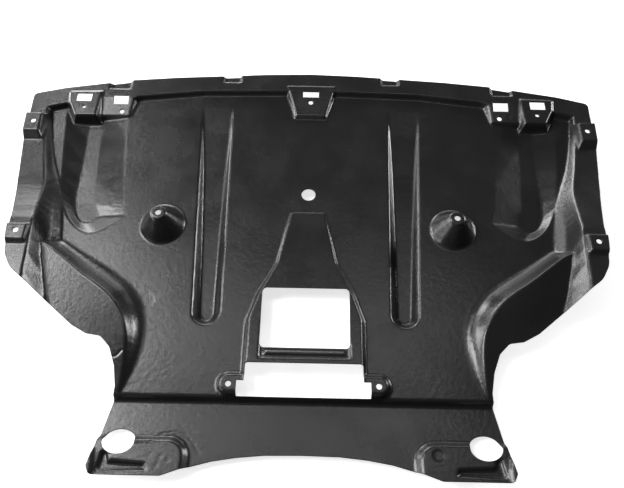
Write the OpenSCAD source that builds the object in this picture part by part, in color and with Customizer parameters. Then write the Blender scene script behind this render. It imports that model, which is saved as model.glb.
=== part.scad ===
// Engine splash shield: one moulded sheet that closes the underside of an engine bay.
// X runs across the vehicle, +Y points to the vehicle's front, +Z to the engine.
// Heights below are taken from the main floor's upper face; the part is lifted at the
// end so that its lowest point rests on the ground plane.

/* [Panel] */
// Thickness of the moulded sheet
wall = 3; // [2:0.5:5]
// Overall length from the rear corners to the middle of the front edge
panel_len = 760; // [700:5:820]
// Half width at the front corners
front_half = 541; // [500:1:580]
// Half width of the rear corners
rear_half = 310; // [280:1:340]
// Half width at the waist between the wheel arches
waist_half = 289; // [260:1:320]

/* [Heights] */
// Front band above the main floor
band_h = 12; // [6:1:20]
// Rear apron below the main floor, at the foot of the rear step
apron_drop = 12; // [6:1:20]
// Rise of the apron for each millimetre towards its rear edge
apron_slope = 0.08; // [0:0.01:0.2]
// Side flange above the main floor, at its rear end
flange_h = 54; // [40:1:65]
// Depth of the front corner pockets
pocket_depth = 13; // [6:1:20]
// Depth of the two long channels at their rounded ends
channel_depth = 16; // [8:1:22]

/* [Standoff cones] */
// Distance of each cone's axis from the centre line
cone_x = 254; // [240:1:270]
// Position of the cones along the panel
cone_y = 415; // [400:1:430]
// Height of the cones above the main floor
cone_h = 42; // [30:1:50]
// Radius at the foot of a cone
cone_foot_r = 39; // [30:1:45]
// Radius of the flat ring on top of a cone
cone_top_r = 13; // [10:0.5:16]
// Radius of the bore in a cone's top
cone_bore_r = 5; // [3:0.5:7]

/* [Openings] */
// Width of the service window
window_w = 143; // [120:1:160]
// Length of the service window
window_l = 103; // [90:1:120]
// Radius of the hole in the middle of the floor
middle_hole_r = 12.5; // [8:0.5:16]
// Length of the rectangular clip slots in the front pads
clip_slot_w = 29; // [20:1:34]
// Width of the rectangular clip slots in the front pads
clip_slot_l = 19; // [12:1:24]
// Radius of the round holes beside the clip slots
clip_hole_r = 4.5; // [3:0.5:6]
// Radius of the screw holes in the side tabs
tab_hole_r = 4.5; // [3:0.5:6]
// Radius of the screw holes in the two rear ears
ear_hole_r = 4.5; // [3:0.5:6]
// Long axis of the oval access holes in the rear corners
access_w = 48; // [40:1:56]
// Short axis of the oval access holes in the rear corners
access_l = 37; // [30:1:48]

/* [Hidden] */
$fn = 48;
deep = 60;
above = 60;
past_edge = 60;
step_y = 116;
step_run = 7;
fold_y = 656;
fold_slope = 0.04;
flange_flat_y = 380;
channel_end = 255;
black = [0.07, 0.07, 0.075];

// Height of the apron's upper face at y
function apron_z(y) = -apron_drop + (step_y - step_run - y) * apron_slope;

// Height of the main floor's upper face at y
function floor_z(y) = y > fold_y ? (y - fold_y) * fold_slope : 0;

// Height of the window plateau's upper face at y
function plateau_z(y) = 1.5 + (443 - y) * 0.052;

// Height of a wing's upper face at a point
function wing_z(p) = 2 - (p.x - 280) * 0.119 + (p.y - 117) * 0.207;

function unit(v) = v / norm(v);

// Points on the arc that rounds the corner b between a and c
function arc_at(a, b, c, r, n) =
    let (
        u = unit(a - b),
        v = unit(c - b),
        half = acos(max(-1, min(1, u * v))) / 2,
        p = b + u * r / tan(half),
        q = b + v * r / tan(half),
        o = b + unit(u + v) * r / sin(half)
    )
    [for (i = [0:n]) o + unit(p + (q - p) * i / n - o) * r];

// A closed outline of [x, y, corner radius] as plain points
function rounded(path, n = 4) =
    let (k = len(path), q = [for (p = path) [p.x, p.y]])
    [for (i = [0:k - 1])
        each (path[i].z == 0 ? [q[i]]
            : arc_at(q[(i + k - 1) % k], q[i], q[(i + 1) % k], path[i].z, n))];

// A closed outline with its corners cut and cut again, so that a long bend comes out smooth
function eased(p, times = 2) =
    times == 0 ? p
    : let (k = len(p))
      eased([for (i = [0:k - 1]) let (q = p[(i + 1) % k])
          each [p[i] * 0.75 + q * 0.25, p[i] * 0.25 + q * 0.75]], times - 1);

// A smooth run through a list of vectors, with n steps from each one to the next
function through(list, n) =
    let (k = len(list))
    [for (i = [0:k - 2], j = [0:n - 1])
        let (
            a = list[max(i - 1, 0)],
            b = list[i],
            c = list[i + 1],
            d = list[min(i + 2, k - 1)],
            u = j / n
        )
        b + (c - a) * u / 2 + (2 * a - 5 * b + 4 * c - d) * u * u / 2
            + (3 * b - a - 3 * c + d) * u * u * u / 2,
     list[k - 1]];

// A counter-clockwise outline with every edge moved outwards by d
function grown(p, d) =
    let (k = len(p))
    [for (i = [0:k - 1])
        let (
            u = unit(p[i] - p[(i + k - 1) % k]),
            v = unit(p[(i + 1) % k] - p[i]),
            nu = [u.y, -u.x],
            nv = [v.y, -v.x]
        )
        p[i] + (nu + nv) * d / (1 + nu * nv)];

// An open line that runs in +x, moved down by t square to itself
function sunk(p, t) =
    let (k = len(p))
    [for (i = [0:k - 1])
        let (
            u = i == 0 ? unit(p[1] - p[0]) : unit(p[i] - p[i - 1]),
            v = i == k - 1 ? u : unit(p[i + 1] - p[i]),
            nu = [u.y, -u.x],
            nv = [v.y, -v.x]
        )
        p[i] + (nu + nv) * t / (1 + nu * nv)];

// Right half of a symmetric outline, from the rear centre round to the front centre,
// completed with its mirror image
function mirrored(half) =
    let (k = len(half))
    concat(half, [for (i = [k - 1:-1:0]) if (half[i].x > 0) [-half[i].x, half[i].y, half[i].z]]);

function at_z(p, z) = [for (q = p) [q.x, q.y, z]];

// Solid through a stack of rings that all have the same number of points
module loft(rings) {
    n = len(rings[0]);
    k = len(rings);
    polyhedron(
        points = [for (r = rings) each r],
        faces = concat(
            [[for (i = [0:n - 1]) i]],
            [[for (i = [n - 1:-1:0]) (k - 1) * n + i]],
            [for (j = [0:k - 2], i = [0:n - 1]) let (m = (i + 1) % n)
                each [[j * n + i, (j + 1) * n + i, (j + 1) * n + m],
                      [j * n + i, (j + 1) * n + m, j * n + m]]]
        )
    );
}

module both_sides() {
    children();
    mirror([1, 0, 0]) children();
}

// Profile in Y and Z, drawn through from x0 to x1
module bar(profile, x0, x1) {
    translate([x0, 0, 0]) rotate([90, 0, 90]) linear_extrude(x1 - x0) polygon(profile);
}

// Raised shape with sloping sides: top and foot are rings of equal length
module boss(top, foot, t) {
    loft([at_z([for (q = foot) [q.x, q.y]], -deep - 4 * t), foot, top]);
}

// Raised shape with a moulded side from foot to top, hollow at the foot and crisp at the top
module swell(top, foot, t) {
    steps = [[0, 0], [0.25, 0.05], [0.45, 0.18], [0.65, 0.42], [0.84, 0.75], [1, 1]];
    loft(concat(
        [at_z([for (q = foot) [q.x, q.y]], -deep - 4 * t)],
        [for (s = steps)
            [for (i = [0:len(top) - 1])
                let (a = foot[i], b = top[i])
                [a.x + (b.x - a.x) * s.x, a.y + (b.y - a.y) * s.x, a.z + (b.z - a.z) * s.y]]]
    ));
}

// Outline of the whole sheet
outline = rounded(mirrored([
    [0, 33, 0],
    [56, 32, 0],
    [97, 28, 0],
    [133, 22, 0],
    [170, 12, 0],
    [203, 0, 12],
    [rear_half - 6, 0, 6],
    [rear_half, 12, 4],
    [302, 50, 0],
    [296, 82, 0],
    [291, 108, 0],
    [waist_half, 128, 12],
    [294, 158, 12],
    [305, 187, 14],
    [322, 204, 12],
    [346, 208, 12],
    [372, 222, 14],
    [452, 286, 0],
    [472, 301, 40],
    [487, 326, 40],
    [492, 364, 0],
    [495, 398, 0],
    [505, 437, 0],
    [518, 488, 0],
    [527, 536, 0],
    [535, 582, 0],
    [539, 650, 0],
    [front_half, 697, 9],
    [482, 713, 0],
    [420, 724, 0],
    [354, 736, 0],
    [265, 745, 0],
    [176, 751, 0],
    [90, 757, 0],
    [0, panel_len, 0]
]));

// Main floor with its front fold, the rear step and the rising apron
module floor_block(t) {
    top = sunk([
        [-past_edge, apron_z(-past_edge)],
        [step_y - step_run, apron_z(step_y - step_run)],
        [step_y, 0],
        [fold_y, 0],
        [panel_len + past_edge, floor_z(panel_len + past_edge)]
    ], t);
    reach = front_half + past_edge;
    bar(concat([[-past_edge, -deep - 4 * t]], top, [[panel_len + past_edge, -deep - 4 * t]]), -reach, reach);
}

// Band along the front edge with the centre pad and the outer clip pads
module front_band(t) {
    s = 0.75 * t;
    edge = rounded(mirrored([
        [0, 717, 0],
        [210, 711, 0],
        [332, 696, 3],
        [348, 690, 3],
        [455, 690, 0],
        [466, 677, 2],
        [505, 666, 3],
        [620, 666, 0],
        [620, 820, 0],
        [0, 820, 0]
    ]), 2);
    boss(at_z(grown(edge, -s), band_h - t), at_z(grown(edge, 5 - s), -6 - t), t);
}

// Centre pad, which slopes down behind the band
module centre_pad(t) {
    s = 0.5 * t;
    top = grown([[-28, 659], [28, 659], [47, 727], [-47, 727]], -s);
    foot = grown([[-32, 655], [32, 655], [52, 731], [-52, 731]], -s);
    boss([for (q = top) [q.x, q.y, band_h - (714 - q.y) * 0.12 - t]], at_z(foot, -3 - t), t);
}

// Inner clip pads: ramps from the band down to a low step on the floor
module clip_ramp(t) {
    s = 0.3 * t;
    top = [[351 + s, 653 + s], [412, 653 + s], [412, 694], [346 + s, 694]];
    foot = [[347 + s, 649 + s], [415, 649 + s], [415, 696], [333 + s, 696]];
    boss([for (q = top) [q.x, q.y, band_h - (694 - q.y) * 0.21 - t]], at_z(foot, -2 - t), t);
}

// Outer clip pads stand a little proud of the band, with a fold in front of the slot
module outer_pad(t) {
    s = 0.7 * t;
    top = grown([[410, 644], [450, 643], [467, 677], [470, 700], [409, 702]], -s);
    foot = grown([[404, 637], [457, 636], [476, 673], [486, 724], [398, 730]], -s);
    boss(at_z(top, band_h + 4 - t), at_z(foot, -7 - t), t);
}

// Local drop of the band's front edge between two clip positions
module joggle(x0, x1, y0, t) {
    s = 0.5 * t;
    end = panel_len + past_edge;
    foot = grown([[x0 + 2, y0 + 2], [x1 - 2, y0 + 2], [x1 - 2, end], [x0 + 2, end]], s);
    top = grown(foot, 3);
    loft([at_z(foot, band_h - 6 - t), at_z(top, band_h + 3 - t), at_z(top, above)]);
}

// One station of the side flange from [y, x and z of the inner foot, of mid-wall and of the crest]
function station(v, t) = [
    [v[1] + 0.45 * t, v[0], v[2] - t],
    [v[3] + 0.5 * t, v[0], v[4] - t],
    [v[5] + 0.6 * t, v[0], v[6] - t],
    [front_half + 2 * past_edge, v[0], v[6] - t],
    [front_half + 2 * past_edge, v[0], -deep - 4 * t],
    [v[1] + 0.45 * t, v[0], -deep - 4 * t]
];

// Side flange, low at the front corner and high behind the rear tab
module side_flange(t) {
    h = flange_h;
    line = through([
        [150, 360, -2, 405, 18, 440, h],
        [300, 400, -2, 428, 20, 452, h],
        [flange_flat_y, 424, -1, 441, 17, 455, h],
        [410, 429, -1, 445, 15, 460, h * 0.85],
        [450, 438, -1, 450, 12, 465, h * 0.61],
        [490, 450, -1, 458, 8, 471, h * 0.42],
        [540, 467, -2, 474, 3, 485, band_h + 4.5],
        [595, 485, -4, 488, 0, 498, band_h],
        [650, 498, -5, 500, 0, 506, band_h],
        [740, 513, -7, 515, 0, 521, band_h]
    ], 3);
    loft([for (v = line) station(v, t)]);
}

// Shallow gutter along the foot of the side wall, running out towards the rear
module gutter(t) {
    loft([
        [[450, 480, 0 - t], [450, 480, above], [640, 480, above], [640, 480, 0 - t]],
        [[484, 740, 0 - t], [484, 740, above], [640, 740, above], [640, 740, -28 - t]]
    ]);
}

// Screw tabs on the side flange
module front_tab(t) {
    s = 0.4 * t;
    top = [[507 + s, 600 + s], [600, 600 + s], [600, 641 - s], [508 + s, 641 - s]];
    foot = [[500 + s, 583 + s], [600, 583 + s], [600, 646 - s], [504 + s, 646 - s]];
    boss(at_z(top, band_h + 12 - t), at_z(foot, band_h - 1 - t), t);
}

module rear_tab(t) {
    s = 0.4 * t;
    top = [[460 + s, 350 + s], [600, 350 + s], [600, 379 - s], [460 + s, 379 - s]];
    foot = [[457 + s, 341 + s], [600, 341 + s], [600, 382 - s], [457 + s, 382 - s]];
    boss(at_z(top, flange_h + 6 - t), at_z(foot, flange_h - 4 - t), t);
}

// Wing over the wheel arch: a raised tilted face behind an S-shaped wall
module wing(t) {
    s = 0.35 * t;
    crest = eased([
        [640, 113], [640, 372], [480, 372], [433, 356], [400, 331], [363, 302],
        [338, 286], [315, 269], [292, 240], [280, 211], [279, 165], [280, 134], [285, 113]
    ]);
    foot = eased([
        [645, 107], [645, 402], [480, 402], [423, 388], [396, 370], [359, 350],
        [318, 325], [281, 298], [257, 260], [248, 215], [255, 165], [271, 130], [281, 107]
    ]);
    top = [for (q = grown(crest, -s)) [q.x, q.y, wing_z(q) - t]];
    swell(top, at_z(grown(foot, -s), -0.7 - t), t);
}

// Raised face round the window, rising towards the rear slot
module plateau(t) {
    s = 0.6 * t;
    top = grown([
        [-29, 443], [-50, 342], [-76, 287], [-91, 240], [-91, 129],
        [91, 129], [91, 240], [76, 287], [50, 342], [29, 443]
    ], -s);
    foot = grown([
        [-31, 448], [-52, 344], [-81, 289], [-97, 241], [-97, 123],
        [97, 123], [97, 241], [81, 289], [52, 344], [31, 448]
    ], -s);
    boss([for (q = top) [q.x, q.y, plateau_z(q.y) - t]], at_z(foot, -2 - t), t);
}

// Lowered ledge behind the window
module ledge(t) {
    s = 0.4 * t;
    low = grown([[-70, 176], [70, 176], [70, 240], [-70, 240]], s);
    high = grown(low, 3);
    loft([
        [for (q = low) [q.x, q.y, plateau_z(q.y) - 4 - t]],
        [for (q = high) [q.x, q.y, plateau_z(q.y) + 2 - t]],
        at_z(high, above)
    ]);
}

// Rib along the ledge
module ledge_rib(t) {
    s = 0.5 * t;
    top = grown([[-62, 181], [62, 181], [62, 184], [-62, 184]], 0.1 - min(s, 1));
    foot = grown(top, 4);
    boss([for (q = top) [q.x, q.y, plateau_z(q.y) - 1.2 - t]],
         [for (q = foot) [q.x, q.y, plateau_z(q.y) - 6 - t]], t);
}

// Screw ears beside the rear slot
module ear(t) {
    s = 0.55 * t;
    top = rounded([[80, 121, 0], [129, 121, 13], [129, 148, 13], [80, 148, 0]], 5);
    foot = rounded([[76, 115, 0], [135, 115, 18], [135, 154, 18], [76, 154, 0]], 5);
    boss(at_z(grown(top, -s), 12 - t), at_z(grown(foot, -s), -2 - t), t);
}

// Long channel sunk below the floor, deepest at its rounded rear end
function channel_mid(y) = 163 + (y - channel_end) * 0.043;

// Half width of a channel at the floor
function channel_rim(y) = 23.5 + (y - channel_end) * 0.0147;

function channel_station(y, depth, t) =
    let (
        m = channel_mid(y),
        rim = channel_rim(y) + 0.5 * t,
        low = rim - 0.75 * depth,
        high = rim + 1.5,
        z = floor_z(y) - t
    )
    [
        [m - high, y, above],
        [m + high, y, above],
        [m + high, y, z + 2],
        [m + low, y, z - depth],
        [m - low, y, z - depth],
        [m - high, y, z + 2]
    ];

module channel(t) {
    d = channel_depth;
    loft([
        channel_station(channel_end, d, t),
        channel_station(400, d * 0.86, t),
        channel_station(535, d * 0.62, t),
        channel_station(620, d * 0.3, t),
        channel_station(697, -1, t)
    ]);
    low = channel_rim(channel_end) + 0.5 * t - 0.75 * d;
    high = channel_rim(channel_end) + 0.5 * t + 1.5;
    translate([channel_mid(channel_end), channel_end, -d - t]) cylinder(h = d + 2, r1 = low, r2 = high);
    translate([channel_mid(channel_end), channel_end, 2 - t]) cylinder(h = above - 2 + t, r = high);
}

// Pocket sunk behind the clip pads in each front corner, deepest at its rounded rear end
module pocket(t) {
    s = 0.35 * t;
    rim = eased([
        [355, 760], [355, 650], [334, 468], [325.5, 437], [323, 430], [329, 424], [345, 411],
        [363, 398], [379, 394], [397, 400], [413, 413], [427, 430], [441, 458], [450, 490],
        [462, 570], [478, 690], [488, 760]
    ], 1);
    base = eased([
        [403, 760], [403, 650], [390, 468], [377, 441], [374, 434], [375.5, 431], [379, 428],
        [386, 423], [394, 420], [403, 421], [410, 427], [416, 437], [423, 458], [425, 490],
        [424, 570], [430, 690], [436, 760]
    ], 1);
    r = grown(rim, s);
    loft([
        [for (q = grown(base, s)) [q.x, q.y, -pocket_depth + max(0, q.y - 468) * 0.035 - t]],
        at_z(r, -t),
        at_z(r, above)
    ]);
}

// Raised pad in each rear corner, with its outer lip
module corner_pad(t) {
    s = 0.4 * t;
    top = rounded([[176, -50, 0], [340, -50, 0], [340, 50, 0], [176, 50, 22]], 6);
    foot = rounded([[161, -54, 0], [346, -54, 0], [346, 58, 0], [161, 58, 34]], 6);
    boss([for (q = grown(top, -s)) [q.x, q.y, apron_z(q.y) + 9 - t]],
         [for (q = grown(foot, -s)) [q.x, q.y, apron_z(q.y) - 2.5 - t]], t);
    lip_top = [[304, -50], [340, -50], [340, 30], [306, 30], [303.5, 18]];
    lip_foot = [[293, -54], [346, -54], [346, 48], [301, 42], [295, 18]];
    boss([for (q = grown(lip_top, -s)) [q.x, q.y, apron_z(q.y) + 13 - t]],
         [for (q = grown(lip_foot, -s)) [q.x, q.y, apron_z(q.y) + 6 - t]], t);
}

// Recess in the outer rear corner of each corner pad
module corner_recess(t) {
    s = 0.4 * t;
    low = grown([[226, 9], [294, 7], [290, 31], [285, 31], [281, 18], [228, 15]], s);
    rim = grown(low, 2.4);
    loft([
        [for (q = low) [q.x, q.y, apron_z(q.y) + 4 - t]],
        [for (q = rim) [q.x, q.y, apron_z(q.y) + 11 - t]],
        at_z(rim, above)
    ]);
}

// Standoff cone, hollow from below
module cone(t, foot) {
    slope = (cone_foot_r - cone_top_r) / cone_h;
    translate([cone_x, cone_y, -foot])
        cylinder(
            h = cone_h + foot - t,
            r1 = cone_foot_r + slope * (foot - t) - 0.55 * t,
            r2 = cone_top_r - 0.55 * t
        );
}

// Everything under the skin that lies t below the sheet's upper face
module form(t) {
    ledge_rib(t);
    difference() {
        union() {
            difference() {
                floor_block(t);
                both_sides() pocket(t);
                both_sides() gutter(t);
            }
            front_band(t);
            centre_pad(t);
            plateau(t);
            both_sides() {
                clip_ramp(t);
                outer_pad(t);
                wing(t);
                side_flange(t);
                front_tab(t);
                rear_tab(t);
                ear(t);
                corner_pad(t);
            }
        }
        ledge(t);
        both_sides() {
            channel(t);
            corner_recess(t);
            joggle(355, 396, 714, t);
            joggle(139, 174, 736, t);
        }
    }
}

module slab(points) {
    translate([0, 0, -deep - above]) linear_extrude(2 * (deep + above)) polygon(points);
}

module bore(x, y, r) {
    translate([x, y, -deep - above]) cylinder(h = 2 * (deep + above), r = r);
}

module openings() {
    slab(rounded([
        [-window_w / 2, 192, 7], [window_w / 2, 192, 7],
        [window_w / 2, 192 + window_l, 7], [-window_w / 2, 192 + window_l, 7]
    ], 6));
    slab([
        [-103, step_y + 1], [103, step_y + 1], [103, 139], [92, 139],
        [92, 166], [-92, 166], [-92, 139], [-103, 139]
    ]);
    slab([[-15.5, 702], [15.5, 702], [15.5, 715], [-15.5, 715]]);
    bore(0, 690, clip_hole_r);
    bore(0, 483, middle_hole_r);
    both_sides() {
        for (x = [440, 370])
            slab([
                [x - clip_slot_w / 2, 687 - clip_slot_l / 2],
                [x + clip_slot_w / 2, 687 - clip_slot_l / 2],
                [x + clip_slot_w / 2, 687 + clip_slot_l / 2],
                [x - clip_slot_w / 2, 687 + clip_slot_l / 2]
            ]);
        bore(436, 663, 3.5);
        bore(366, 662, clip_hole_r);
        bore(521, 621, tab_hole_r);
        bore(476, 366, tab_hole_r);
        bore(115, 133, ear_hole_r);
        bore(cone_x, cone_y, cone_bore_r);
        slab([for (a = [0:7.5:359]) [271 + access_w / 2 * cos(a), 48 + access_l / 2 * sin(a)]]);
    }
}

// The moulded sheet, set to its exact overall length, before cones and openings
module sheet() {
    resize([0, panel_len, 0])
    intersection() {
        difference() {
            form(0);
            form(wall);
        }
        slab(outline);
    }
}

module splash_shield() {
    color(black)
    translate([0, -panel_len / 2, channel_depth + wall])
    difference() {
        union() {
            sheet();
            both_sides() cone(0, 1);
        }
        both_sides() cone(wall, channel_depth + wall + 1);
        openings();
    }
}

splash_shield();
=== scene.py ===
"""Engine splash shield: one moulded sheet of black plastic, lying with its engine side up.

The moulded skin is read from the CAD node as a height for each point of the plan, its folds are
rounded as a moulding's are, and it is meshed again with small faces only where it bends.
"""
import math

import bpy
import numpy as np
from mathutils import Euler, Matrix, Vector
from mathutils.geometry import delaunay_2d_cdt


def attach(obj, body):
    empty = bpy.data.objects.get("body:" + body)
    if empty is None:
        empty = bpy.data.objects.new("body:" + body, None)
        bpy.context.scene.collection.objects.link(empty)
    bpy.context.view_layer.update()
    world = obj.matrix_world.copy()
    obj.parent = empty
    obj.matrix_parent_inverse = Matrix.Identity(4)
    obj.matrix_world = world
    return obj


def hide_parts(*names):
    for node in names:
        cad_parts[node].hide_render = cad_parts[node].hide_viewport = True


MM = 0.001

# Camera, from the photograph: place in mm, angles in degrees, focal length and picture width in pixels
CAMERA_AT = (10.5, -488.3, 943.6)
CAMERA_PITCH = 62.07
CAMERA_YAW = 0.27
CAMERA_ROLL = 0.92
FOCAL_PX = 605.4
IMAGE_W = 624
SENSOR_W = 36

# Ground and world: reach and depth of the ground in metres, its colour, what it glows for the camera
# alone so that it's white there, and the colour of the world on the part
FLOOR_REACH = 6.0
FLOOR_DEPTH = 0.0005
FLOOR_COLOUR = 0.8
FLOOR_LIFT = 0.72
WORLD_COLOUR = 0.05

# Studio lamps: name; azimuth from the part's front, positive to the right, elevation, width and height
# in degrees; radiance
LAMP_DISTANCE = 4.0
SOFTBOXES = (
    ("left_key", -37, 41, 5, 5, 24.0),
    ("left_key_far", -46, 52, 6, 5, 30.0),
    ("left_high", -62, 57, 20, 14, 20.0),
    ("left_side_low", -80, 40, 30, 16, 19.0),
    ("left_wall", -70, 6, 40, 9, 17.0),
    ("left_wall_high", -50, 16, 40, 12, 4.0),
    ("left_wall_far", -110, 10, 40, 14, 6.0),
    ("back_wall", -20, 12, 22, 18, 12.0),
    ("back_wall_right", 8, 12, 30, 18, 3.0),
    ("right_strip", 60, 14, 20, 9, 32.0),
    ("top_left", -30, 72, 40, 14, 2.8),
    ("top_right", 30, 72, 40, 14, 2.4),
    ("camera_side", -150, 43, 60, 14, 0.6),
)

# Height map of the sheet, in mm
GRID = 1.0
MARGIN = 14
EXTEND = 6
FOLD_SIGMA = 1.5
DISC_EDGE = 0.8

# Marks on the upper skin, in mm: discs with centre, radius and depth; lines with depth, half width
# and plan points. A depth below zero stands up
DISCS = (
    (199, -344, 8, 0.9),
    (-261, -109, 12, 0.25),
    (-221, -351, 3, 0.2),
    (-194, -358, 3, 0.2),
    (-206, -354, 2.5, 0.25),
    (-209, -366, 3, 0.2),
)
LINES = (
    (0.35, 1.3, ((-222, -331), (-212, -320), (-195, -317), (-175, -320), (-162, -331), (-151, -348))),
    (-0.8, 2.5, ((-246, -330), (-222, -329))),
    (0.7, 1.2, ((-298, -209), (-291, -207), (-284, -199))),
    (0.25, 1.2, ((-135, 251), (-121, 239))),
    (0.25, 1.2, ((96, 252), (126, 233))),
)

# Black plastic: colour, least and most roughness, scale of the change between them, and the scale,
# strength and height in metres of its mottled skin and of its grain
PLASTIC_COLOUR = (0.011, 0.011, 0.0115, 1)
PLASTIC_ROUGHNESS = (0.21, 0.29)
PLASTIC_CLOUD = 16
PLASTIC_BUMPS = ((140, 0.5, 0.0006), (800, 0.3, 0.0004))

# Faces of each side: smallest cell in mm, and how far a flat cell may leave the skin
TOP_CELL, TOP_ERROR = 2.2, 0.03
BOTTOM_CELL, BOTTOM_ERROR = 4.0, 0.4
LEVELS = 3
RIM_STEP = 2.6
RIM_ROUND = 0.8
RIM_CLEAR = 0.6
RIM_TRACE = 0.4

# What belongs to a skin, by the rise of a face's normal: as an edge of a rim, and as a height
RIM_RISE = 0.012
SKIN_RISE = 0.02

# Clean rims: smallest hole in mm2, smallest side in mm, cosine of the sharpest turn, what keeps a
# mitre short, and how near two points are one, in mm
SMALLEST_HOLE = 4.0
SMALLEST_SIDE = 0.05
SHARPEST_TURN = -0.7
MITRE_FLOOR = 0.3
SAME_POINT = 1e-5


# The CAD node as height maps

def cad_triangles(obj):
    """Corners of the node's triangles in mm, as an array of n x 3 x 3."""
    mesh = obj.data
    mesh.calc_loop_triangles()
    points = np.empty(len(mesh.vertices) * 3)
    mesh.vertices.foreach_get("co", points)
    index = np.empty(len(mesh.loop_triangles) * 3, dtype=np.int32)
    mesh.loop_triangles.foreach_get("vertices", index)
    return points.reshape(-1, 3)[index].reshape(-1, 3, 3) / MM


def unit_normals(triangles):
    """The unit normal of each triangle."""
    normal = np.cross(triangles[:, 1] - triangles[:, 0], triangles[:, 2] - triangles[:, 0])
    return normal / np.maximum(np.linalg.norm(normal, axis=1), 1e-12)[:, None]


class HeightMap:
    """Height of one face of the sheet over the plan, with its slopes and curvature."""

    def __init__(self, triangles, low, high):
        self.origin = np.array(low[:2]) - MARGIN
        self.shape = tuple(int(math.ceil((high[k] - low[k] + 2 * MARGIN) / GRID)) + 1 for k in (0, 1))
        self.z = np.full(self.shape, np.nan)
        for corners in triangles:
            self._fill(corners)

    def _fill(self, corners):
        """Heights of one triangle at the grid points that it covers."""
        flat = (corners[:, :2] - self.origin) / GRID
        first = np.ceil(flat.min(axis=0) - 1e-6).astype(int)
        last = np.floor(flat.max(axis=0) + 1e-6).astype(int)
        if (last < first).any():
            return
        (ax, ay), (bx, by), (cx, cy) = flat
        area = (bx - ax) * (cy - ay) - (cx - ax) * (by - ay)
        if abs(area) < 1e-9:
            return
        x, y = np.meshgrid(np.arange(first[0], last[0] + 1), np.arange(first[1], last[1] + 1),
                           indexing="ij")
        b = ((x - ax) * (cy - ay) - (cx - ax) * (y - ay)) / area
        c = ((bx - ax) * (y - ay) - (x - ax) * (by - ay)) / area
        inside = (b > -1e-6) & (c > -1e-6) & (b + c < 1 + 1e-6)
        height = corners[0, 2] + b * (corners[1, 2] - corners[0, 2]) + c * (corners[2, 2] - corners[0, 2])
        block = self.z[first[0]:last[0] + 1, first[1]:last[1] + 1]
        block[inside] = height[inside]

    def extend(self, steps):
        """Carries the slope on past the material's edge, so that blurring doesn't bend it there."""
        for _ in range(steps):
            total = np.zeros(self.shape)
            count = np.zeros(self.shape)
            for shift in ((1, 0), (-1, 0), (0, 1), (0, -1), (1, 1), (1, -1), (-1, 1), (-1, -1)):
                near = np.roll(self.z, shift, (0, 1))
                far = np.roll(self.z, (2 * shift[0], 2 * shift[1]), (0, 1))
                guess = near + 0.9 * (near - far)
                known = np.isfinite(guess)
                total[known] += guess[known]
                count[known] += 1
            empty = np.isnan(self.z) & (count > 0)
            self.z[empty] = total[empty] / count[empty]

    def smooth(self, sigma):
        """The heights blurred by sigma, with what has no height left out."""
        known = np.isfinite(self.z)
        weight = blurred(known.astype(float), sigma)
        return blurred(np.where(known, self.z, 0.0), sigma) / np.maximum(weight, 1e-9)

    def plan(self):
        """The plan points of the grid."""
        x = self.origin[0] + np.arange(self.shape[0]) * GRID
        y = self.origin[1] + np.arange(self.shape[1]) * GRID
        return np.meshgrid(x, y, indexing="ij")

    def press_disc(self, x, y, radius, depth):
        """Sinks a round dimple with a soft edge."""
        px, py = self.plan()
        away = np.hypot(px - x, py - y)
        self.z -= depth / (1 + np.exp(np.clip((away - radius) / DISC_EDGE, -30, 30)))

    def press_line(self, depth, width, points):
        """Sinks a soft groove along a chain of plan points."""
        px, py = self.plan()
        away = np.full(self.shape, 1e6)
        for (ax, ay), (bx, by) in zip(points, points[1:]):
            dx, dy = bx - ax, by - ay
            along = np.clip(((px - ax) * dx + (py - ay) * dy) / (dx * dx + dy * dy), 0, 1)
            away = np.minimum(away, np.hypot(px - ax - along * dx, py - ay - along * dy))
        self.z -= depth * np.exp(-0.5 * np.minimum(away / width, 8) ** 2)

    def derive(self):
        """Slopes and curvature of the heights."""
        self.slope = np.gradient(self.z, GRID)
        xx, xy = np.gradient(self.slope[0], GRID)
        yy = np.gradient(self.slope[1], GRID, axis=1)
        self.bend = np.sqrt(xx ** 2 + 2 * xy ** 2 + yy ** 2)

    def sample(self, field, points):
        """The field between the grid points, at an array of points in mm."""
        place = (np.asarray(points) - self.origin) / GRID
        base = np.clip(np.floor(place).astype(int), 0, np.array(self.shape) - 2)
        u, v = (place - base).T
        i, j = base.T
        return ((1 - u) * (1 - v) * field[i, j] + u * (1 - v) * field[i + 1, j]
                + (1 - u) * v * field[i, j + 1] + u * v * field[i + 1, j + 1])


def blurred(values, sigma):
    """Gaussian blur along both axes, sigma in grid steps."""
    reach = int(math.ceil(3 * sigma))
    steps = np.arange(-reach, reach + 1)
    kernel = np.exp(-steps ** 2 / (2 * sigma ** 2))
    kernel /= kernel.sum()
    for axis in (0, 1):
        total = np.zeros_like(values)
        for step, weight in zip(steps, kernel):
            total += weight * np.roll(values, step, axis)
        values = total
    return values


# Rims: the outline and the holes

def rim_loops(triangles, normals):
    """The edges of the upward faces as closed loops in plan, material on the left."""
    flat = np.round(triangles.reshape(-1, 3) * 1000).astype(np.int64)
    unique, inverse = np.unique(flat, axis=0, return_inverse=True)
    upward = inverse.reshape(-1, 3)[normals[:, 2] > RIM_RISE]
    edges = set()
    for a, b, c in upward.tolist():
        edges.update(((a, b), (b, c), (c, a)))
    follow = {}
    for a, b in edges:
        if (b, a) not in edges:
            follow.setdefault(a, []).append(b)
    loops = []
    while follow:
        start = next(iter(follow))
        chain = []
        step = start
        while not chain or step != start:
            chain.append(step)
            after = follow[step].pop()
            if not follow[step]:
                del follow[step]
            step = after
        loop = unique[chain][:, :2] / 1000.0
        if abs(loop_area(loop)) > SMALLEST_HOLE:
            loops.append(loop)
    return loops


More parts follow.
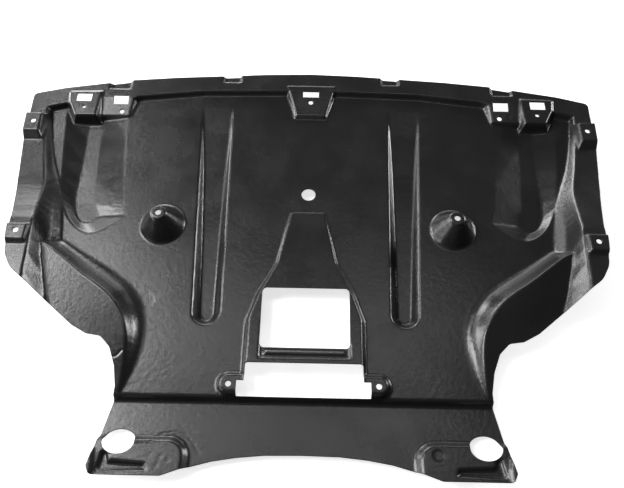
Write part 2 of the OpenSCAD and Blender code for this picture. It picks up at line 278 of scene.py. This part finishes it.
def loop_area(loop):
    """The area in a loop, below zero where it runs clockwise."""
    x, y = loop.T
    return 0.5 * float(np.sum(x * np.roll(y, -1) - y * np.roll(x, -1)))


def plain_loop(loop):
    """The loop without its tiny sides and its spikes."""
    while True:
        loop = loop[np.linalg.norm(loop - np.roll(loop, 1, axis=0), axis=1) > SMALLEST_SIDE]
        ahead = np.roll(loop, -1, axis=0) - loop
        ahead /= np.linalg.norm(ahead, axis=1)[:, None]
        turn = (ahead * np.roll(ahead, 1, axis=0)).sum(axis=1)
        if turn.min() > SHARPEST_TURN:
            return loop
        loop = np.delete(loop, turn.argmin(), axis=0)


def resampled(loop, step):
    """The loop with its long sides cut into equal steps."""
    points = []
    for a, b in zip(loop, np.roll(loop, -1, axis=0)):
        count = max(1, int(round(np.linalg.norm(b - a) / step)))
        points += [a + (b - a) * i / count for i in range(count)]
    return np.array(points)


def left_normals(loop):
    """Mitre vectors into the material, as long as an inset of one needs."""
    ahead = np.roll(loop, -1, axis=0) - loop
    ahead /= np.linalg.norm(ahead, axis=1)[:, None]
    behind = np.roll(ahead, 1, axis=0)
    left = np.stack([-ahead[:, 1], ahead[:, 0]], axis=1)
    other = np.stack([-behind[:, 1], behind[:, 0]], axis=1)
    total = left + other
    return total / np.maximum(1 + (left * other).sum(axis=1), MITRE_FLOOR)[:, None]


def inside_loops(points, loops):
    """Whether each point is in the material, by the even and odd rule."""
    inside = np.zeros(len(points), dtype=bool)
    x, y = points.T
    for loop in loops:
        ax, ay = loop.T
        bx, by = np.roll(loop, -1, axis=0).T
        for k in range(len(loop)):
            if ay[k] == by[k]:
                continue
            crosses = (y < ay[k]) != (y < by[k])
            inside ^= crosses & (x < ax[k] + (y - ay[k]) * (bx[k] - ax[k]) / (by[k] - ay[k]))
    return inside


# Meshing the skin

def blocks(flags, reduce=np.any):
    """One value for each 2 x 2 block of an array with even sides."""
    rows, columns = flags.shape
    return reduce(flags.reshape(rows // 2, 2, columns // 2, 2), axis=(1, 3))


def spread(flags):
    """The flags with their eight neighbours."""
    wide = flags | np.roll(flags, 1, 0) | np.roll(flags, -1, 0)
    return wide | np.roll(wide, 1, 1) | np.roll(wide, -1, 1)


def doubled(flags):
    """Each flag as a 2 x 2 block."""
    return flags.repeat(2, axis=0).repeat(2, axis=1)


class CellTree:
    """Square cells over the plan, halved where the skin bends, with no big jump between neighbours."""

    def __init__(self, surface, loops, cell, error):
        top = 2 ** LEVELS
        self.cell = cell
        self.origin = surface.origin
        self.count = tuple(int(math.ceil(n * GRID / cell / top)) * top for n in surface.shape)
        x, y = [(np.arange(n) + 0.5) * cell for n in self.count]
        centres = np.stack(np.meshgrid(x, y, indexing="ij"), -1)
        places = centres.reshape(-1, 2) + self.origin
        bend = surface.sample(surface.bend, places).reshape(self.count)
        want = np.sqrt(8 * error / np.maximum(bend, 1e-6))
        rims = np.zeros(self.count, dtype=bool)
        for loop in loops:
            dense = resampled(loop, RIM_TRACE)
            for dx in (-RIM_CLEAR, 0, RIM_CLEAR):
                for dy in (-RIM_CLEAR, 0, RIM_CLEAR):
                    i, j = np.floor((dense + (dx, dy) - self.origin) / cell).astype(int).T
                    rims[i, j] = True
        self.rims = [rims]
        self.split = [np.zeros(self.count, dtype=bool)]
        for level in range(1, LEVELS + 1):
            want = blocks(want, np.min)
            self.rims.append(blocks(self.rims[-1]))
            split = want < cell * 2 ** level
            if level > 1:
                split |= self.rims[level]
            self.split.append(split | blocks(spread(self.split[-1])))

    def leaves(self, level):
        """The cells of this level that aren't halved."""
        leaf = ~self.split[level]
        if level < LEVELS:
            leaf &= doubled(self.split[level + 1])
        return leaf

    def triangles(self, loops):
        """Triangles of the cells that lie in the material clear of its rims, as lattice points."""
        faces = []
        self.kept = np.zeros(self.count, dtype=bool)
        for level in range(LEVELS + 1):
            size = 2 ** level
            i, j = np.nonzero(self.leaves(level) & ~self.rims[level])
            centre = (np.stack([i, j], 1) + 0.5) * self.cell * size + self.origin
            inside = inside_loops(centre, loops)
            i, j = i[inside], j[inside]
            for di in range(size):
                for dj in range(size):
                    self.kept[i * size + di, j * size + dj] = True
            finer = self.split[level]
            edge = np.zeros((finer.shape[0] + 2, finer.shape[1] + 2), dtype=bool)
            edge[1:-1, 1:-1] = finer
            south, east = edge[i + 1, j], edge[i + 2, j + 1]
            north, west = edge[i + 1, j + 2], edge[i, j + 1]
            faces.append(self._cells(i, j, size, np.stack([south, east, north, west], 1)))
        return np.concatenate(faces)

    def _cells(self, i, j, size, middle):
        """Two triangles for a plain cell, or a fan for one with points in the middle of its sides."""
        x, y, full, half = 2 * size * i, 2 * size * j, 2 * size, size
        corner = [np.stack([x + a * full, y + b * full], 1) for a, b in ((0, 0), (1, 0), (1, 1), (0, 1))]
        between = [np.stack([x + a * half, y + b * half], 1) for a, b in ((1, 0), (2, 1), (1, 2), (0, 1))]
        centre = np.stack([x + half, y + half], 1)
        plain = ~middle.any(axis=1)
        faces = [np.stack([corner[0], corner[1], corner[2]], 1)[plain],
                 np.stack([corner[0], corner[2], corner[3]], 1)[plain]]
        for side in range(4):
            a, b = corner[side], corner[(side + 1) % 4]
            has = middle[:, side] & ~plain
            faces.append(np.stack([centre, a, between[side]], 1)[has])
            faces.append(np.stack([centre, between[side], b], 1)[has])
            lacks = ~middle[:, side] & ~plain
            faces.append(np.stack([centre, a, b], 1)[lacks])
        return np.concatenate(faces)


def border_edges(faces):
    """The edges that only one face has."""
    edges = np.concatenate([faces[:, [0, 1]], faces[:, [1, 2]], faces[:, [2, 0]]])
    ordered = np.sort(edges, axis=1)
    _, first, count = np.unique(ordered, axis=0, return_index=True, return_counts=True)
    return edges[first[count == 1]]


def loop_edges(loops):
    """The edges of the loops, by the numbers of their points in one list."""
    edges = []
    start = 0
    for loop in loops:
        n = len(loop)
        edges += [(start + k, start + (k + 1) % n) for k in range(n)]
        start += n
    return edges


def skin_mesh(surface, loops, cell, error):
    """Plan points and triangles that fill the loops. The loops' own points come first."""
    tree = CellTree(surface, loops, cell, error)
    lattice = tree.triangles(loops)
    keys = lattice.reshape(-1, 2)
    unique, inverse = np.unique(keys, axis=0, return_inverse=True)
    cell_points = unique * (cell / 2) + tree.origin
    cell_faces = inverse.reshape(-1, 3)

    # The band between the rims and the stair-shaped edge of the cells
    rim_points = np.concatenate(loops)
    stair = border_edges(cell_faces)
    stair_ids, stair_index = np.unique(stair, return_inverse=True)
    stair_edges = stair_index.reshape(-1, 2) + len(rim_points)
    points = np.concatenate([rim_points, cell_points[stair_ids]])
    edges = loop_edges(loops) + [tuple(edge) for edge in stair_edges.tolist()]
    verts, _, faces, origins, _, _ = delaunay_2d_cdt(
        [Vector(p) for p in points.tolist()], edges, [], 0, SAME_POINT)
    back = np.full(len(verts), -1)
    for k, source in enumerate(origins):
        if source:
            back[k] = source[0]
    verts = np.array([tuple(v) for v in verts])
    faces = np.array(faces)
    centre = verts[faces].mean(axis=1)
    i, j = np.floor((centre - tree.origin) / cell).astype(int).T
    band = ~tree.kept[i, j] & inside_loops(centre, loops)
    faces = back[faces[band]]
    faces = faces[(faces >= 0).all(axis=1)]

    # Points: first the rims, then the cells
    to_all = np.concatenate([np.arange(len(rim_points)), stair_ids + len(rim_points)])
    all_points = np.concatenate([rim_points, cell_points])
    all_faces = np.concatenate([to_all[faces], cell_faces + len(rim_points)])
    a, b, c = (all_points[all_faces[:, k]] for k in range(3))
    turned = np.cross(b - a, c - a) < 0
    all_faces[turned] = all_faces[turned][:, ::-1]
    return all_points, all_faces


def surface_points(surface, plan):
    """Points and normals of the skin over plan points."""
    z = surface.sample(surface.z, plan)
    sx = surface.sample(surface.slope[0], plan)
    sy = surface.sample(surface.slope[1], plan)
    normal = np.stack([-sx, -sy, np.ones(len(plan))], 1)
    normal /= np.linalg.norm(normal, axis=1)[:, None]
    return np.column_stack([plan, z]), normal


def rim_rings(loops, mitres, upper_side, lower_side):
    """Points and normals of four rings, from under the upper skin round the rim to the lower skin."""
    rim = np.concatenate(loops)
    out = -np.concatenate(mitres)
    flat = np.column_stack([out / np.linalg.norm(out, axis=1)[:, None], np.zeros(len(rim))])
    slant = RIM_ROUND * (1 - math.sqrt(0.5))
    rings = []
    for (points, normals), sign in ((upper_side, 1), (lower_side, -1)):
        z = points[:len(rim), 2]
        corner = np.column_stack([rim - out * slant, z - sign * slant])
        side = np.column_stack([rim, z - sign * RIM_ROUND])
        tilt = flat + sign * normals[:len(rim)]
        tilt /= np.linalg.norm(tilt, axis=1)[:, None]
        rings += [(corner, tilt), (side, flat)][::sign]
    return rings


def rim_faces(loops, rows):
    """Triangles from each row of rim points to the next; rows says where each row's points start."""
    faces = []
    start = 0
    for loop in loops:
        k = np.arange(len(loop))
        here, after = start + k, start + (k + 1) % len(loop)
        for a, b in zip(rows, rows[1:]):
            faces.append(np.stack([a + after, a + here, b + here], 1))
            faces.append(np.stack([a + after, b + here, b + after], 1))
        start += len(loop)
    return faces


def triangle_object(name, points, normals, faces):
    """A smooth object of triangles, from points in mm."""
    mesh = bpy.data.meshes.new(name)
    mesh.vertices.add(len(points))
    mesh.vertices.foreach_set("co", (points * MM).ravel())
    mesh.loops.add(faces.size)
    mesh.loops.foreach_set("vertex_index", faces.ravel().astype(np.int32))
    mesh.polygons.add(len(faces))
    mesh.polygons.foreach_set("loop_start", np.arange(0, faces.size, 3, dtype=np.int32))
    mesh.polygons.foreach_set("use_smooth", np.ones(len(faces), dtype=bool))
    mesh.update(calc_edges=True)
    mesh.validate()
    mesh.normals_split_custom_set_from_vertices(normals.tolist())
    obj = bpy.data.objects.new(name, mesh)
    bpy.context.scene.collection.objects.link(obj)
    return obj


def sheet_object(name, top, bottom, loops):
    """The closed sheet: upper skin, lower skin and a rounded rim round the outline and each hole."""
    mitres = [left_normals(loop) for loop in loops]
    inset = [loop + mitre * RIM_ROUND for loop, mitre in zip(loops, mitres)]
    upper_plan, upper_faces = skin_mesh(top, inset, TOP_CELL, TOP_ERROR)
    lower_plan, lower_faces = skin_mesh(bottom, inset, BOTTOM_CELL, BOTTOM_ERROR)
    upper, upper_normal = surface_points(top, upper_plan)
    lower, lower_normal = surface_points(bottom, lower_plan)
    rings = rim_rings(loops, mitres, (upper, upper_normal), (lower, lower_normal))
    points = np.concatenate([upper, lower] + [ring for ring, _ in rings])
    normals = np.concatenate([upper_normal, -lower_normal] + [normal for _, normal in rings])
    lower_start = len(upper)
    ring_start = lower_start + len(lower)
    ring_size = sum(len(loop) for loop in loops)
    rows = [0] + [ring_start + k * ring_size for k in range(len(rings))] + [lower_start]
    faces = [upper_faces, lower_faces[:, ::-1] + lower_start] + rim_faces(loops, rows)
    return triangle_object(name, points, normals, np.concatenate(faces))


def moulded_sheet(node):
    """The sheet that stands for the CAD node."""
    triangles = cad_triangles(node)
    normals = unit_normals(triangles)
    low, high = triangles.reshape(-1, 3).min(axis=0), triangles.reshape(-1, 3).max(axis=0)
    top = HeightMap(triangles[normals[:, 2] > SKIN_RISE], low, high)
    bottom = HeightMap(triangles[normals[:, 2] < -SKIN_RISE], low, high)
    for surface in (top, bottom):
        surface.extend(EXTEND)
        surface.z = np.clip(surface.smooth(FOLD_SIGMA / GRID), low[2], high[2])
    for disc in DISCS:
        top.press_disc(*disc)
    for line in LINES:
        top.press_line(*line)
    for surface in (top, bottom):
        surface.derive()
    loops = [resampled(plain_loop(loop), RIM_STEP) for loop in rim_loops(triangles, normals)]
    return sheet_object("moulded_sheet", top, bottom, loops)


# Materials

def noise(nodes, links, place, scale, detail):
    """A noise texture in the part's own coordinates."""
    texture = nodes.new("ShaderNodeTexNoise")
    texture.inputs["Scale"].default_value = scale
    texture.inputs["Detail"].default_value = detail
    links.new(place.outputs["Object"], texture.inputs["Vector"])
    return texture.outputs["Fac"]


def shield_plastic():
    """Black plastic with a mottled skin, a fine grain and a shine that changes a little."""
    material = bpy.data.materials.new("shield_plastic")
    material.use_nodes = True
    nodes, links = material.node_tree.nodes, material.node_tree.links
    shader = nodes["Principled BSDF"]
    shader.inputs["Base Color"].default_value = PLASTIC_COLOUR
    place = nodes.new("ShaderNodeTexCoord")
    normal = None
    for scale, strength, distance in PLASTIC_BUMPS:
        bump = nodes.new("ShaderNodeBump")
        bump.inputs["Strength"].default_value = strength
        bump.inputs["Distance"].default_value = distance
        links.new(noise(nodes, links, place, scale, 3), bump.inputs["Height"])
        if normal:
            links.new(normal, bump.inputs["Normal"])
        normal = bump.outputs["Normal"]
    links.new(normal, shader.inputs["Normal"])
    shine = nodes.new("ShaderNodeMapRange")
    shine.inputs["From Min"].default_value = 0.35
    shine.inputs["From Max"].default_value = 0.65
    shine.inputs["To Min"].default_value, shine.inputs["To Max"].default_value = PLASTIC_ROUGHNESS
    links.new(noise(nodes, links, place, PLASTIC_CLOUD, 4), shine.inputs["Value"])
    links.new(shine.outputs["Result"], shader.inputs["Roughness"])
    return material


# Floor, light and camera

def grey(level):
    return level, level, level, 1


def floor_white():
    """White for the camera, with the part's shadow, and plain for every other ray."""
    material = bpy.data.materials.new("floor_white")
    material.use_nodes = True
    nodes, links = material.node_tree.nodes, material.node_tree.links
    nodes.remove(nodes["Principled BSDF"])
    plain = nodes.new("ShaderNodeBsdfDiffuse")
    plain.inputs["Color"].default_value = grey(FLOOR_COLOUR)
    lift = nodes.new("ShaderNodeEmission")
    lift.inputs["Color"].default_value = grey(FLOOR_LIFT)
    lifted = nodes.new("ShaderNodeAddShader")
    path = nodes.new("ShaderNodeLightPath")
    mix = nodes.new("ShaderNodeMixShader")
    links.new(plain.outputs["BSDF"], lifted.inputs[0])
    links.new(lift.outputs["Emission"], lifted.inputs[1])
    links.new(path.outputs["Is Camera Ray"], mix.inputs["Fac"])
    links.new(plain.outputs["BSDF"], mix.inputs[1])
    links.new(lifted.outputs["Shader"], mix.inputs[2])
    links.new(mix.outputs["Shader"], nodes["Material Output"].inputs["Surface"])
    return material


def floor():
    mesh = bpy.data.meshes.new("floor")
    corners = [(x * FLOOR_REACH, y * FLOOR_REACH, 0) for x, y in ((-1, -1), (1, -1), (1, 1), (-1, 1))]
    mesh.from_pydata(corners, [], [(0, 1, 2, 3)])
    mesh.materials.append(floor_white())
    ground = bpy.data.objects.new("floor", mesh)
    bpy.context.scene.collection.objects.link(ground)
    ground.location.z = -FLOOR_DEPTH


def studio_world():
    """A dim world that the camera sees as white."""
    world = bpy.data.worlds.new("studio")
    bpy.context.scene.world = world
    world.use_nodes = True
    nodes, links = world.node_tree.nodes, world.node_tree.links
    dim, white = nodes["Background"], nodes.new("ShaderNodeBackground")
    dim.inputs["Color"].default_value = grey(WORLD_COLOUR)
    white.inputs["Color"].default_value = grey(1)
    path = nodes.new("ShaderNodeLightPath")
    mix = nodes.new("ShaderNodeMixShader")
    links.new(path.outputs["Is Camera Ray"], mix.inputs["Fac"])
    links.new(dim.outputs["Background"], mix.inputs[1])
    links.new(white.outputs["Background"], mix.inputs[2])
    links.new(mix.outputs["Shader"], nodes["World Output"].inputs["Surface"])


def softbox(name, azimuth, elevation, wide, tall, radiance):
    """An area lamp that fills the given angles, in degrees, as seen from the part."""
    turn, lift = math.radians(azimuth), math.radians(elevation)
    away = Vector((math.sin(turn) * math.cos(lift), math.cos(turn) * math.cos(lift), math.sin(lift)))
    lamp = bpy.data.lights.new(name, "AREA")
    lamp.shape = "RECTANGLE"
    lamp.size = 2 * LAMP_DISTANCE * math.tan(math.radians(wide / 2)) * math.cos(lift)
    lamp.size_y = 2 * LAMP_DISTANCE * math.tan(math.radians(tall / 2))
    lamp.energy = radiance * math.pi * lamp.size * lamp.size_y
    obj = bpy.data.objects.new(name, lamp)
    bpy.context.scene.collection.objects.link(obj)
    obj.location = away * LAMP_DISTANCE
    obj.rotation_euler = away.to_track_quat("Z", "Y").to_euler()
    obj.visible_camera = False


def camera():
    data = bpy.data.cameras.new("camera")
    data.sensor_width = SENSOR_W
    data.lens = FOCAL_PX / IMAGE_W * SENSOR_W
    obj = bpy.data.objects.new("camera", data)
    bpy.context.scene.collection.objects.link(obj)
    tilt = Euler((math.radians(90 - CAMERA_PITCH), 0, math.radians(CAMERA_YAW)), "XYZ").to_matrix()
    roll = Matrix.Rotation(math.radians(CAMERA_ROLL), 3, "Z")
    obj.matrix_world = Matrix.Translation([c * MM for c in CAMERA_AT]) @ (tilt @ roll).to_4x4()
    bpy.context.scene.camera = obj


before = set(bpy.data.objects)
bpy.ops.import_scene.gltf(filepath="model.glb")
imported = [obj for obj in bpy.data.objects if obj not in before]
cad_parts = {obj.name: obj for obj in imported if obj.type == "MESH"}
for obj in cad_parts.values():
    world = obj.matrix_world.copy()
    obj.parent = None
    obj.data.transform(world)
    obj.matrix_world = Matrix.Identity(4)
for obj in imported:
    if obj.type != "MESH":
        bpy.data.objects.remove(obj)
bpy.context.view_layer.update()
sheet = moulded_sheet(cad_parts["splash_shield"])
sheet.data.materials.append(shield_plastic())
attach(sheet, "root")
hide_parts("splash_shield")
floor()
studio_world()
for lamp in SOFTBOXES:
    softbox(*lamp)
camera()
bpy.context.scene.view_settings.view_transform = "Standard"
